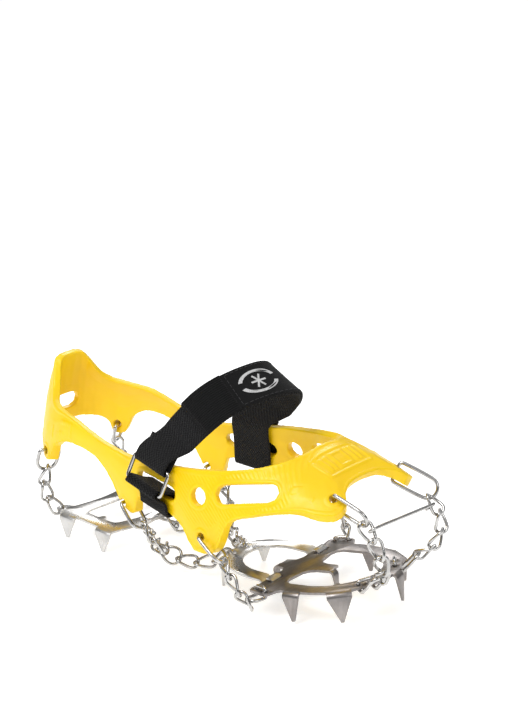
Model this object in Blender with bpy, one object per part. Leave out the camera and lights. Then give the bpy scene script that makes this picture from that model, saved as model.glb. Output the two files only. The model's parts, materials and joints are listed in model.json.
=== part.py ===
"""Ice cleats for one shoe, in the shape they take when worn.

An elastomer harness goes round the upper of the shoe. Three spiked steel plates lie under the sole,
and short chains join them to the harness and to each other. A webbing strap closes over the instep.

Metres, +Z up. The toe points to -Y and the outer side of a right shoe is at -X. Spikes stand on Z = 0.
"""

import math

import bmesh
import bpy
from mathutils import Matrix, Vector
from mathutils.geometry import interpolate_bezier

# ---------------------------------------------------------------- driving dimensions (millimetres)
MM = 0.001
CENTRE_ACROSS = 1.6        # middle of the whole cleat, measured from the heel plate's centre line
CENTRE_ALONG = 57.95       # middle of the whole cleat, measured from the heel plate's front holes

SHEET = 1.5                # thickness of every steel plate
HOLE_RADIUS = 2.3          # chain holes in the plates
BEND_RADIUS = 1.6          # inside radius where a spike is bent down

WIRE = 2.0                 # chain link wire
SHACKLE_WIRE = 2.4         # shackle and strap ring wire
PLAY = 0.75                # gap between two wires that hook into each other
PITCH = 10.7               # distance from one link to the next
LINK_WIDTH = 9.8           # outer width of a chain link
JOINT_LINK_WIDTH = 13.0    # outer width of the link where three chains meet

FORE_TURN = 5.1            # the fore plate points this many degrees towards the inner side
FORE_TILT = 8.8            # and its front is this many degrees up, as the sole rises to the toe
FORE_CENTRE = (0.0, 114.0, 14.6)
FLEX_LEVEL = 13.9          # height of the flex plate's middle plane
HEEL_TURN = -4.0           # the heel plate points slightly towards the outer side
HEEL_LEVEL = 13.4          # height of the heel plate's middle plane

BAND = 4.2                 # thickness of the harness band
LUG = 6.0                  # thickness of the harness where a shackle passes through it
BORE_RADIUS = 2.6          # shackle holes in the harness lugs
WEBBING = 1.4              # thickness of the strap webbing
STRAP_WIDTH = 25.0


def at(across, along, up):
    """A place: across to the outer side, along to the toe, up from the ground."""
    return Vector((CENTRE_ACROSS - across, CENTRE_ALONG - along, up)) * MM


def way(across, along, up):
    """A direction: across to the outer side, along to the toe, up."""
    return Vector((-across, -along, up)).normalized()


def measures(place):
    """The across, along and up of a place, in millimetres."""
    return Vector((CENTRE_ACROSS - place.x / MM, CENTRE_ALONG - place.y / MM, place.z / MM))


# ---------------------------------------------------------------- scene and materials
for leftover in list(bpy.data.objects):
    bpy.data.objects.remove(leftover, do_unlink=True)


def material(name, colour, roughness, metallic=0.0):
    surface = bpy.data.materials.new(name)
    surface.use_nodes = True
    shader = surface.node_tree.nodes["Principled BSDF"]
    shader.inputs["Base Color"].default_value = (*colour, 1.0)
    shader.inputs["Roughness"].default_value = roughness
    shader.inputs["Metallic"].default_value = metallic
    return surface


ELASTOMER = material("yellow_elastomer", (0.95, 0.62, 0.01), 0.42)
DARK_STEEL = material("dark_steel_sheet", (0.27, 0.24, 0.23), 0.38, 1.0)
STEEL_SHEET = material("steel_sheet", (0.62, 0.61, 0.59), 0.32, 1.0)
STEEL_WIRE = material("polished_wire", (0.72, 0.71, 0.69), 0.16, 1.0)
WEBBING_BLACK = material("black_webbing", (0.018, 0.018, 0.02), 0.85)


def add_object(name, mesh, surface, frame=None, smooth=35.0):
    """Place a mesh as a named object. `frame` is its world matrix: its origin is its joint's pivot."""
    if not mesh.materials:
        mesh.materials.append(surface)
    obj = bpy.data.objects.new(name, mesh)
    bpy.context.scene.collection.objects.link(obj)
    obj.matrix_world = frame or Matrix()
    if smooth:
        mesh.shade_smooth()
        mesh.set_sharp_from_angle(angle=math.radians(smooth))
    return obj


def finish_mesh(bm, name):
    bmesh.ops.recalc_face_normals(bm, faces=bm.faces)
    mesh = bpy.data.meshes.new(name)
    bm.to_mesh(mesh)
    bm.free()
    return mesh


def axes(x_axis, z_axis, origin):
    """A frame with X along x_axis and Z as near to z_axis as it can be."""
    x_axis = x_axis.normalized()
    y_axis = z_axis.cross(x_axis).normalized()
    z_axis = x_axis.cross(y_axis)
    return Matrix.Translation(origin) @ Matrix((x_axis, y_axis, z_axis)).transposed().to_4x4()


# ---------------------------------------------------------------- wires
def tube(bm, path, radius, sides, closed=True):
    """A round wire along a path. A closed path joins its ends, an open one gets flat caps."""
    count = len(path)

    def tangent(i):
        before = path[i - 1] if closed or i > 0 else path[i]
        after = path[(i + 1) % count] if closed or i < count - 1 else path[i]
        return (after - before).normalized()

    tangents = [tangent(i) for i in range(count)]
    side = tangents[0].orthogonal().normalized()
    normals = [side]
    for i in range(1, count):
        turn = tangents[i - 1].rotation_difference(tangents[i])
        side = turn @ side
        normals.append((side - tangents[i] * side.dot(tangents[i])).normalized())
    slip = 0.0
    if closed:
        last = tangents[-1].rotation_difference(tangents[0]) @ normals[-1]
        slip = math.atan2(tangents[0].dot(normals[0].cross(last)), normals[0].dot(last))
    rings = []
    for i in range(count):
        first = Matrix.Rotation(-slip * i / count, 3, tangents[i]) @ normals[i]
        second = tangents[i].cross(first)
        ring = []
        for k in range(sides):
            angle = math.tau * k / sides
            ring.append(bm.verts.new(path[i] + radius * (math.cos(angle) * first + math.sin(angle) * second)))
        rings.append(ring)
    for i in range(count if closed else count - 1):
        near, far = rings[i], rings[(i + 1) % count]
        for k in range(sides):
            bm.faces.new((near[k], near[(k + 1) % sides], far[(k + 1) % sides], far[k]))
    if not closed:
        bm.faces.new(rings[0])
        bm.faces.new(rings[-1])


def rounded(points, radius, steps, closed=True):
    """The same path with each corner replaced by an arc. `radius` is one value or one for each point."""
    count = len(points)
    radii = radius if isinstance(radius, (list, tuple)) else [radius] * count
    path = []
    for i, corner in enumerate(points):
        if not closed and i in (0, count - 1):
            path.append(corner.copy())
            continue
        back = (points[i - 1] - corner).normalized()
        ahead = (points[(i + 1) % count] - corner).normalized()
        half = math.acos(max(-1.0, min(1.0, back.dot(ahead)))) / 2
        if math.pi / 2 - half < 0.02 or radii[i] == 0:
            path.append(corner.copy())
            continue
        middle = (back + ahead).normalized()
        centre = corner + middle * (radii[i] / math.sin(half))
        start = corner + back * (radii[i] / math.tan(half)) - centre
        stop = corner + ahead * (radii[i] / math.tan(half)) - centre
        spread = start.angle(stop)
        for k in range(steps + 1):
            share = k / steps
            path.append(centre + (start * math.sin((1 - share) * spread)
                                  + stop * math.sin(share * spread)) / math.sin(spread))
    kept = [point for i, point in enumerate(path) if i == 0 or (point - path[i - 1]).length > 0.3 * MM]
    if closed and (kept[0] - kept[-1]).length < 0.3 * MM:
        kept.pop()
    return kept


LINK_SIDES = 6
ARC_STEPS = 6              # straight pieces in each round end of a link


def link_mesh(name, width):
    """A twisted link. Its near end hooks at the origin, and its far end hooks one pitch along X.

    The ends lie in planes 90 degrees apart, so the next link can have the same attitude.
    """
    hook = (WIRE + PLAY) / 2
    radius = (width - WIRE) / 2
    low, high = -hook + radius, PITCH + hook - radius
    middle = PITCH / 2
    reach = middle + hook
    path = []
    for centre, start in ((high, -90.0), (low, 90.0)):
        for k in range(ARC_STEPS + 1):
            angle = math.radians(start + 180.0 * k / ARC_STEPS)
            x = centre + radius * math.cos(angle)
            wide = radius * math.sin(angle)
            twist = math.radians(45.0) * (x - middle) / reach
            path.append(Vector((x, wide * math.cos(twist), wide * math.sin(twist))) * MM)
    bm = bmesh.new()
    tube(bm, path, WIRE / 2 * MM, LINK_SIDES)
    return finish_mesh(bm, name)


LINK = link_mesh("chain_link", LINK_WIDTH)
JOINT_LINK = link_mesh("joint_link", JOINT_LINK_WIDTH)


def hang(start, end, bulge, count):
    """Junctions of links that hang between two places in one even arc, which bows out towards `bulge`."""
    span = (end - start).length / (PITCH * MM)
    if span >= count:
        raise ValueError(f"{count} links are {span - count:.3f} links too short")
    low, high = 0.0, math.tau / count
    for _ in range(60):
        turn = (low + high) / 2
        if math.sin(count * turn / 2) / math.sin(turn / 2) > span:
            low = turn
        else:
            high = turn
    radius = PITCH * MM / (2 * math.sin(turn / 2))
    along = (end - start).normalized()
    out = (bulge - along * bulge.dot(along)).normalized()
    centre = (start + end) / 2 - out * radius * math.cos(count * turn / 2)
    spots = []
    for i in range(count + 1):
        angle = (i - count / 2) * turn
        spots.append(centre + radius * (math.sin(angle) * along + math.cos(angle) * out))
    return spots, centre


def lay_chain(names, start, end, bulge, first_angle=0.0, relax=0.0, meshes=None):
    """Lay one link for each name from start to end.

    first_angle turns the first hook about the chain, from the flat of the arc. relax is how far from
    square each link meets the next, in degrees.
    """
    spots, centre = hang(start, end, bulge, len(names))
    roll = first_angle + 45.0
    for i, name in enumerate(names):
        near, far = spots[i], spots[i + 1]
        outward = (near + far) / 2 - centre
        frame = axes(far - near, outward, near) @ Matrix.Rotation(math.radians(roll), 4, "X")
        mesh = meshes[i] if meshes else LINK
        add_object(name, mesh, STEEL_WIRE, frame)
        roll += relax
    return spots


# ---------------------------------------------------------------- sheet steel
def arc(centre, radius, start, stop, steps):
    """Points on an arc in the plane of a plate, in degrees from start to stop."""
    points = []
    for k in range(steps + 1):
        angle = math.radians(start + (stop - start) * k / steps)
        points.append((centre[0] + radius * math.cos(angle), centre[1] + radius * math.sin(angle)))
    return points


def mirrored(half):
    """A closed outline from its half at x > 0, listed from front to back."""
    other = [(-x, y) for x, y in reversed(half) if abs(x) > 1e-6]
    return half + other


def sheet_mesh(outline, cutouts, cuts=()):
    """A flat sheet from an outline and its cutouts. `cuts` are lines y = value that a bend needs."""
    bm = bmesh.new()
    edges = []
    for loop in [outline] + cutouts:
        verts = [bm.verts.new((x * MM, y * MM, -SHEET / 2 * MM)) for x, y in loop]
        edges += [bm.edges.new((verts[i], verts[(i + 1) % len(verts)])) for i in range(len(verts))]
    bmesh.ops.triangle_fill(bm, use_beauty=True, use_dissolve=False, edges=edges)
    for y in cuts:
        geometry = bm.verts[:] + bm.edges[:] + bm.faces[:]
        bmesh.ops.bisect_plane(bm, geom=geometry, plane_co=(0, y * MM, 0), plane_no=(0, 1, 0))
    grown = bmesh.ops.extrude_face_region(bm, geom=bm.faces[:])
    raised = [part for part in grown["geom"] if isinstance(part, bmesh.types.BMVert)]
    bmesh.ops.translate(bm, verts=raised, vec=(0, 0, SHEET * MM))
    bmesh.ops.recalc_face_normals(bm, faces=bm.faces)
    return bm


def edge_face(bm, x, y):
    """The face on the rim of a sheet whose middle is nearest to (x, y)."""
    rim = [face for face in bm.faces if abs(face.normal.z) < 0.3 and len(face.verts) == 4]
    spot = Vector((x, y, 0)) * MM
    return min(rim, key=lambda face: (face.calc_center_median() - spot).length)


def grow(bm, face):
    """Pull a new piece of sheet out of a rim face, and return its end face."""
    grown = bmesh.ops.extrude_discrete_faces(bm, faces=[face])
    return grown["faces"][0]


def bend(bm, face, degrees, steps, radius, down=True):
    """Bend the sheet at a rim face about a line under it (or over it), and return the end face."""
    out = face.normal.copy()
    side = -1.0 if down else 1.0
    along = Vector((0, 0, 1)) if abs(out.z) < 0.5 else None
    width_edge = max(face.edges, key=lambda edge: edge.calc_length())
    line = (width_edge.verts[1].co - width_edge.verts[0].co).normalized()
    lift = out.cross(line).normalized()
    if lift.dot(along if along else Vector((0, 0, 1))) * side < 0:
        lift = -lift
    pivot = face.calc_center_median() + lift * (radius + SHEET / 2) * MM
    axis = line
    probe = Matrix.Rotation(math.radians(5), 3, axis) @ (face.calc_center_median() - pivot)
    if (probe + pivot - face.calc_center_median()).dot(out) < 0:
        axis = -axis
    for _ in range(steps):
        face = grow(bm, face)
        turn = Matrix.Rotation(math.radians(degrees / steps), 3, axis)
        bmesh.ops.rotate(bm, verts=face.verts[:], cent=pivot, matrix=turn)
        bm.normal_update()
    return face


SPIKE_TIP = 1.6            # width of a spike's blunt tip


def spike(bm, x, y, width, length):
    """Bend the rim segment at (x, y) straight down into a pointed spike of the given full length."""
    face = edge_face(bm, x, y)
    face = bend(bm, face, 90, 3, BEND_RADIUS)
    drop = length - BEND_RADIUS - SHEET / 2
    face = grow(bm, face)
    centre = face.calc_center_median()
    line = max(face.edges, key=lambda edge: edge.calc_length())
    line = (line.verts[1].co - line.verts[0].co).normalized()
    for vert in face.verts:
        offset = vert.co - centre
        vert.co -= line * offset.dot(line) * (1 - SPIKE_TIP / width)
        vert.co.z -= drop * MM
    bm.normal_update()


def hole(x, y, radius=HOLE_RADIUS, steps=12):
    return arc((x, y), radius, 0, 360, steps)[:-1]


# fore plate: a ring under the ball of the foot, with a crossbar that the flex plate hooks onto
FORE_SIDE_HOLES = ((42.0, 6.3), (39.0, -1.6))
FORE_FRONT_HOLES = ((11.7, 57.0), (18.9, 52.4))
SLOT_X, SLOT_HALF = 23.0, 5.9
SLOT_FRONT, SLOT_BACK = 1.9, -1.9
FORE_REAR = -4.6


def fore_plate_mesh():
    front = [(0.0, 62.5), (7.2, 62.3)] + arc((0, 24.3), 38.3, 76, 53, 3)
    shoulder = [(26.2, 52.7), (34.3, 41.3)]
    side = [(36.6, 32.0), (37.2, 26.0), (37.5, 15.6), (37.6, 13.2)]
    lug = [(39.5, 11.2), (43.8, 9.6), (45.3, 7.4), (44.9, 4.6), (42.6, -2.0), (41.6, -5.0), (38.5, -6.0)]
    rear = [(30.0, FORE_REAR), (10.5, FORE_REAR), (6.4, -6.5), (5.2, -12.0), (0.0, -12.0)]
    outline = mirrored(front + shoulder + side + lug + rear)
    top = arc((0, 28.5), 24.0, 90, 48, 4)
    tooth = [(20.8, 41.8), (19.2, 40.4), (20.4, 38.6), (23.6, 38.6)]
    inside = [(25.6, 35.0), (27.6, 27.0), (27.2, 12.5), (25.2, 9.0), (21.0, 7.9), (10.0, 9.4)]
    tongue = [(6.6, 12.2), (5.2, 16.0), (4.8, 23.6), (0.0, 23.6)]
    opening = mirrored(top + tooth + inside + tongue)
    cutouts = [opening]
    for side_sign in (-1, 1):
        x = side_sign * SLOT_X
        cutouts.append([(x - SLOT_HALF, SLOT_BACK), (x + SLOT_HALF, SLOT_BACK),
                        (x + SLOT_HALF, SLOT_FRONT), (x - SLOT_HALF, SLOT_FRONT)])
        cutouts += [hole(side_sign * a, b) for a, b in FORE_SIDE_HOLES + FORE_FRONT_HOLES]
    bm = sheet_mesh(outline, cutouts)
    spike(bm, 0.0, 62.5, 14.4, 16.0)
    for side_sign in (-1, 1):
        spike(bm, side_sign * 30.25, 47.0, 14.0, 16.5)
        spike(bm, side_sign * 37.35, 20.8, 10.4, 16.0)
    spike(bm, 0.0, -12.0, 10.4, 11.8)
    spike(bm, 0.0, 23.6, 9.6, 12.5)
    return finish_mesh(bm, "fore_plate")


# flex plate: a U whose two arms hook through the fore plate's slots
FLEX_HOLES = ((5.7, -42.3),)
ARM_IN, ARM_OUT = 18.6, 27.9
HOOK_INNER = 1.35          # inside radius of the hook round the crossbar
HOOK_DROP = 1.9            # the arms run this far below the fore plate's middle plane


def flex_plate_mesh():
    top = SLOT_BACK + 0.2
    centre_y = -16.6
    outline = [(ARM_IN, top), (ARM_OUT, top), (ARM_OUT, centre_y)]
    outline += arc((0, centre_y), ARM_OUT, -8, -38, 3)
    outline += [(15.0, -40.6)] + arc((5.9, -42.2), 4.2, -45, -120, 3) + [(0.0, -44.8)]
    half_in = [(ARM_IN, centre_y)] + arc((0, centre_y), ARM_IN, -15, -90, 5)
    left = [(-x, y) for x, y in reversed(outline[:-1])]
    inner_left = [(-x, y) for x, y in half_in[:-1]]
    loop = outline + left + inner_left + list(reversed(half_in))
    cutouts = [hole(sign * x, y) for x, y in FLEX_HOLES for sign in (-1, 1)]
    bm = sheet_mesh(loop, cutouts, cuts=(-5.4, -8.4))
    rise = FLEX_LEVEL - flex_arm_level()
    for vert in bm.verts:
        y = vert.co.y / MM
        share = min(1.0, max(0.0, (-5.4 - y) / 3.0))
        vert.co.z += rise * share * MM
    bm.normal_update()
    for sign in (-1, 1):
        face = edge_face(bm, sign * (ARM_IN + ARM_OUT) / 2, top)
        face = bend(bm, face, 180, 6, HOOK_INNER, down=False)
        face = grow(bm, face)
        bmesh.ops.translate(bm, verts=face.verts[:], vec=(0, -1.6 * MM, 0))
        spike_at = Vector((0, centre_y, 0)) + 25.6 * Vector((sign * math.cos(math.radians(-46.6)),
                                                            math.sin(math.radians(-46.6)), 0))
        spike(bm, spike_at.x, spike_at.y, 9.0, FLEX_LEVEL - 0.1)
    return finish_mesh(bm, "flex_plate")


def flex_arm_level():
    """Height of the arms' middle plane where they pass under the crossbar."""
    bar = (FORE_REAR + SLOT_BACK) / 2
    return FORE_CENTRE[2] + bar * math.sin(math.radians(FORE_TILT)) - HOOK_DROP - 0.2


# heel plate: a frame under the heel
HEEL_FRONT_HOLES = ((5.7, 0.0),)
HEEL_REAR_HOLES = ((26.5, -50.5),)


def heel_plate_mesh():
    front = [(0.0, 2.6), (5.7, 3.7), (10.5, 3.0), (17.0, 1.2), (31.0, -1.4)]
    side = [(31.2, -14.0), (31.0, -33.6), (31.0, -46.2)]
    lug = [(31.0, -51.0), (29.4, -54.2), (26.2, -55.0), (23.0, -53.6)]
    rear = [(20.0, -48.0), (9.0, -46.2), (0.0, -45.6)]
    outline = mirrored(front + side + lug + rear)
    opening = [(0.0, -6.2), (6.0, -5.9), (18.0, -8.8), (20.8, -10.4), (21.6, -13.0), (21.6, -19.6)]
    opening += [(18.2, -21.0), (18.2, -23.0), (21.8, -24.2), (21.4, -33.5), (19.6, -35.8), (15.5, -36.6), (0.0, -36.0)]
    cutouts = [mirrored(opening)]
    for sign in (-1, 1):
        cutouts += [hole(sign * a, b) for a, b in HEEL_FRONT_HOLES + HEEL_REAR_HOLES]
    bm = sheet_mesh(outline, cutouts)
    for sign in (-1, 1):
        spike(bm, sign * 31.1, -7.7, 12.6, HEEL_LEVEL)
        spike(bm, sign * 31.0, -39.9, 12.6, HEEL_LEVEL)
    return finish_mesh(bm, "heel_plate")


def plate_frame(centre, turn, tilt=0.0):
    """World frame of a plate: its own Y points to the toe, turned towards the inner side and tilted up."""
    spin = Matrix.Rotation(math.radians(180.0 + turn), 4, "Z")
    return Matrix.Translation(at(*centre)) @ spin @ Matrix.Rotation(math.radians(tilt), 4, "X")


FORE = plate_frame(FORE_CENTRE, FORE_TURN, FORE_TILT)
FLEX = plate_frame((FORE_CENTRE[0], FORE_CENTRE[1], flex_arm_level()), FORE_TURN)
HEEL = plate_frame((0.0, 0.0, HEEL_LEVEL), HEEL_TURN)

add_object("fore_plate", fore_plate_mesh(), DARK_STEEL, FORE)
add_object("heel_plate", heel_plate_mesh(), STEEL_SHEET, HEEL)

# the flex plate turns about the crossbar that its arms hook onto
FLEX_PIVOT = FORE @ Vector((0, (FORE_REAR + SLOT_BACK) / 2 * MM, 0))
flex_mesh = flex_plate_mesh()
flex_mesh.transform(Matrix.Translation(FLEX.inverted() @ FLEX_PIVOT).inverted())
flex_frame = Matrix.Translation(FLEX_PIVOT) @ FLEX.to_3x3().to_4x4()
add_object("flex_plate", flex_mesh, STEEL_SHEET, flex_frame)


def on_plate(frame, x, y, level=0.0):
    return frame @ (Vector((x, y, level)) * MM)


def flex_hole(sign):
    x, y = FLEX_HOLES[0]
    return on_plate(FLEX, sign * x, y, FLEX_LEVEL - flex_arm_level())


# ---------------------------------------------------------------- harness
# The band's lower and upper edge on the outer side of the shoe, from the middle of the heel to the
# middle of the toe. Each place is across, along, up, with the band's thickness at the lower edge.
LOWER_EDGE = (
    (0.0, -76.5, 60.0, BAND), (10.0, -75.3, 60.0, BAND), (18.0, -71.5, 59.5, BAND), (24.5, -66.0, 58.5, BAND),
    (29.0, -61.0, 55.0, 5.5), (31.0, -58.5, 49.0, LUG), (34.4, -50.5, 49.5, LUG), (35.8, -44.5, 60.5, 5.0),
    (37.4, -33.0, 66.2, BAND), (38.6, -20.0, 66.6, BAND), (39.2, -7.0, 63.9, BAND), (39.8, 2.0, 57.5, BAND),
    (40.6, 8.5, 50.5, 5.0), (41.5, 14.5, 42.5, LUG), (42.4, 22.5, 37.6, LUG), (43.2, 28.0, 39.4, LUG),
    (43.6, 31.0, 49.6, BAND), (45.2, 41.0, 50.7, BAND), (47.2, 52.7, 50.2, BAND), (49.2, 64.5, 47.2, BAND),
    (50.6, 72.0, 43.0, 5.0), (52.0, 81.0, 33.0, LUG), (52.8, 95.5, 35.5, LUG), (52.8, 101.0, 44.0, LUG),
    (51.8, 104.5, 53.5, 5.0), (50.6, 109.5, 58.6, BAND), (49.2, 119.0, 62.2, BAND), (46.6, 130.0, 66.2, BAND),
    (43.0, 142.0, 69.4, BAND), (40.6, 150.5, 70.6, 5.5), (38.4, 158.0, 70.0, LUG), (33.5, 166.5, 70.2, LUG),
    (26.0, 168.5, 74.2, LUG), (20.5, 163.5, 77.6, 5.5), (12.0, 159.6, 80.0, BAND), (0.0, 158.6, 80.8, BAND),
)
UPPER_EDGE = (
    (0.0, -68.5, 105.0), (9.5, -67.2, 104.0), (15.5, -62.5, 96.0), (20.0, -58.8, 89.0),
    (25.0, -54.5, 85.0), (28.6, -49.5, 83.4), (31.4, -42.5, 82.3), (33.4, -35.5, 81.8),
    (35.6, -27.0, 80.8), (37.4, -15.5, 77.6), (38.6, -4.0, 74.4), (39.2, 6.0, 72.4),
    (39.8, 14.0, 71.4), (40.3, 19.5, 71.0), (41.0, 25.0, 70.9), (41.6, 30.0, 71.3),
    (42.1, 35.0, 72.0), (43.0, 43.0, 73.3), (44.4, 53.0, 75.0), (45.2, 63.0, 76.3),
    (45.2, 70.0, 77.2), (45.0, 78.0, 78.4), (43.4, 90.0, 80.4), (42.4, 96.0, 81.4),
    (41.0, 101.5, 82.6), (39.0, 107.5, 83.8), (35.6, 114.5, 85.4), (31.2, 120.5, 87.2),
    (26.0, 125.2, 88.8), (22.0, 127.6, 89.8), (18.4, 129.2, 90.6), (15.0, 130.2, 91.2),
    (11.6, 130.8, 91.8), (8.4, 131.0, 92.2), (4.4, 131.0, 92.6), (0.0, 131.0, 92.8),
)
SUBDIVISIONS = 2           # rows of mesh for each row of the lists
ROWS_ACROSS = 5            # mesh points from the lower to the upper edge
BULGE = 0.05               # the band bows outwards by this share of its width


def centre_line(along):
    """The foot's centre line curves to the outer side at the arch and to the inner side at the toe."""
    return 3.2 * math.cos(math.pi * (along - 45.0) / 190.0)


def inner_side(place):
    """The place on the inner side of the shoe that answers to one on the outer side."""
    across, along, up = place
    slip = 4.0 * math.exp(-((along - 88.0) / 26.0) ** 2)
    return (2 * centre_line(along) - across, along - slip, up)


def catmull(rows, closed_count):
    """Smooth closed curve through the rows, with SUBDIVISIONS points for each."""
    smooth = []
    for i in range(closed_count):
        p0, p1 = rows[i - 1], rows[i]
        p2, p3 = rows[(i + 1) % closed_count], rows[(i + 2) % closed_count]
        for k in range(SUBDIVISIONS):
            t = k / SUBDIVISIONS
            smooth.append(0.5 * (2 * p1 + (p2 - p0) * t + (2 * p0 - 5 * p1 + 4 * p2 - p3) * t * t
                                 + (3 * p1 - p0 - 3 * p2 + p3) * t ** 3))
    return smooth


def harness_rows():
    """Lower edge, upper edge and lower thickness, all the way round."""
    lower = [Vector(row[:3]) for row in LOWER_EDGE]
    upper = [Vector(row) for row in UPPER_EDGE]
    thick = [row[3] for row in LOWER_EDGE]
    inner_lower = [Vector(inner_side(row[:3])) for row in LOWER_EDGE[1:-1]]
    inner_upper = [Vector(inner_side(row)) for row in UPPER_EDGE[1:-1]]
    lower += list(reversed(inner_lower))
    upper += list(reversed(inner_upper))
    thick += list(reversed(thick[1:-1]))
    return lower, upper, thick


def band_surface():
    """Outer face points and outward normals, row by row."""
    lower, upper, thick = harness_rows()
    count = len(lower)
    lower, upper = catmull(lower, count), catmull(upper, count)
    thick = [value.x for value in catmull([Vector((value, 0, 0)) for value in thick], count)]
    rings = []
    total = len(lower)
    for i in range(total):
        rise = upper[i] - lower[i]
        run = (lower[(i + 1) % total] + upper[(i + 1) % total]) - (lower[i - 1] + upper[i - 1])
        out = run.cross(rise).normalized()
        ring = []
        for k in range(ROWS_ACROSS):
            t = k / (ROWS_ACROSS - 1)
            bow = BULGE * rise.length * 4 * t * (1 - t)
            depth = BAND + (thick[i] - BAND) * (1.0 if t < 0.3 else 0.3 if t < 0.6 else 0.0)
            ring.append((lower[i] + rise * t + out * bow, out, depth))
        rings.append(ring)
    return rings


def harness_block():
    bm = bmesh.new()
    grid = []
    for ring in band_surface():
        outer = [bm.verts.new(at(*place)) for place, out, depth in ring]
        inner = [bm.verts.new(at(*(place - out * depth))) for place, out, depth in ring]
        grid.append(outer + list(reversed(inner)))
    total, around = len(grid), len(grid[0])
    for i in range(total):
        near, far = grid[i], grid[(i + 1) % total]
        for k in range(around):
            bm.faces.new((near[k], near[(k + 1) % around], far[(k + 1) % around], far[k]))
    return bm


# windows in the side bands: middle, half length, half height, and how far the outline is turned
WINDOWS = (
    ((46.3, 48.0, 61.6), 17.5, 4.2, -3.0),
    ((49.0, 82.4, 64.6), 5.3, 5.3, 0.0),
    ((45.0, 113.5, 73.2), 20.0, 5.3, 13.0),
)
# where a shackle goes through the harness, and where its chain starts
LUG_BORES = {
    "heel": ((31.5, -55.0, 54.0), (29.6, -58.0, 41.5)),
    "arch": ((41.5, 17.2, 42.0), (42.8, 28.5, 30.5)),
    "ball": ((52.0, 86.5, 42.7), (52.4, 101.5, 33.0)),
    "toe": ((27.0, 160.5, 75.5), (27.0, 180.0, 70.5)),
}


def surface_normal(place):
    """Outward normal of the harness at the mesh point nearest to a place, and that point."""
    best = min((item for ring in BAND_SURFACE for item in ring), key=lambda item: (item[0] - place).length)
    return best[1], best[0], best[2]


BAND_SURFACE = band_surface()


def cutter_prism(bm, place, outline, reach=16.0):
    """A prism through the band at a place. The outline is in the band's plane: along it and up it."""
    out, _, _ = surface_normal(Vector(place))
    out = way(*out)
    frame = axes(Vector((0, 0, 1)).cross(out), out, at(*place))
    low = [bm.verts.new(frame @ (Vector((x, y, -reach)) * MM)) for x, y in outline]
    high = [bm.verts.new(frame @ (Vector((x, y, reach)) * MM)) for x, y in outline]
    count = len(outline)
    bm.faces.new(low)
    bm.faces.new(high)
    for i in range(count):
        bm.faces.new((low[i], low[(i + 1) % count], high[(i + 1) % count], high[i]))


def pill(half_length, half_height, turn, steps=4):
    """A slot outline with round ends, turned by some degrees in its plane."""
    radius = min(half_height, half_length)
    straight = half_length - radius
    points = arc((straight, 0), radius, -90, 90, steps) + arc((-straight, 0), radius, 90, 270, steps)
    if straight < 1e-6:
        points = hole(0, 0, radius, 12)
    spin = math.radians(turn)
    return [(x * math.cos(spin) - y * math.sin(spin), x * math.sin(spin) + y * math.cos(spin)) for x, y in points]


def harness_cutters():
    bm = bmesh.new()
    for place, half_length, half_height, turn in WINDOWS:
        cutter_prism(bm, place, pill(half_length, half_height, turn))
        cutter_prism(bm, inner_side(place), pill(half_length, half_height, -turn))
    for bore, _ in LUG_BORES.values():
        cutter_prism(bm, bore, hole(0, 0, BORE_RADIUS, 8))
        cutter_prism(bm, inner_side(bore), hole(0, 0, BORE_RADIUS, 8))
    cutter_prism(bm, (0.0, -73.5, 72.0), pill(12.0, 5.0, 0.0))
    bmesh.ops.recalc_face_normals(bm, faces=bm.faces)
    return finish_mesh(bm, "harness_cutters")


harness = add_object("harness", finish_mesh(harness_block(), "harness"), ELASTOMER)
cutters = add_object("harness_cutters", harness_cutters(), ELASTOMER, smooth=None)
cutters.hide_render = True
cutters.display_type = "WIRE"
windows = harness.modifiers.new("windows", "BOOLEAN")
windows.operation = "DIFFERENCE"
windows.object = cutters


# ---------------------------------------------------------------- shackles
def shackle_mesh(name, length, half_width):
    """A wire loop in its own XZ plane: the near end crosses the bore along Z, the far end is round."""
    corners = [Vector((0, 0, -half_width)), Vector((0, 0, half_width)),
               Vector((length, 0, half_width)), Vector((length, 0, -half_width))]
    near, far = 2.0, half_width * 0.999
    path = rounded([corner * MM for corner in corners], [near * MM, near * MM, far * MM, far * MM], 3)
    bm = bmesh.new()
    tube(bm, path, SHACKLE_WIRE / 2 * MM, LINK_SIDES)
    return finish_mesh(bm, name)


def place_shackle(name, bore, chain_start, chain_way, spare):
    """Hang a shackle from a lug's bore, flat to the lug, with its round end near chain_start.

    Returns the place where the chain's first link hooks in.
    """
    out, surface, depth = surface_normal(Vector(bore))
    middle = Vector(bore) - out * ((Vector(bore) - surface).dot(out) + depth / 2)
    origin = at(*middle)
    normal = way(*out)
    half = depth / 2 + spare + SHACKLE_WIRE / 2
    inside = (half - (SHACKLE_WIRE + PLAY) / 2) * MM
    pull = chain_start - origin
    pull -= normal * pull.dot(normal)
    reach = pull.length
    pull.normalize()
    lean = (pull * (0.45 + chain_way.dot(pull)) + normal * chain_way.dot(normal)).normalized()
    centre = origin + pull * (reach - inside * lean.dot(pull))
    frame = axes(pull, normal, origin)
    length = (centre - origin).length / MM + half
    add_object(name, shackle_mesh(name, length, half), STEEL_WIRE, frame)
    return centre + lean * inside


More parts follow.
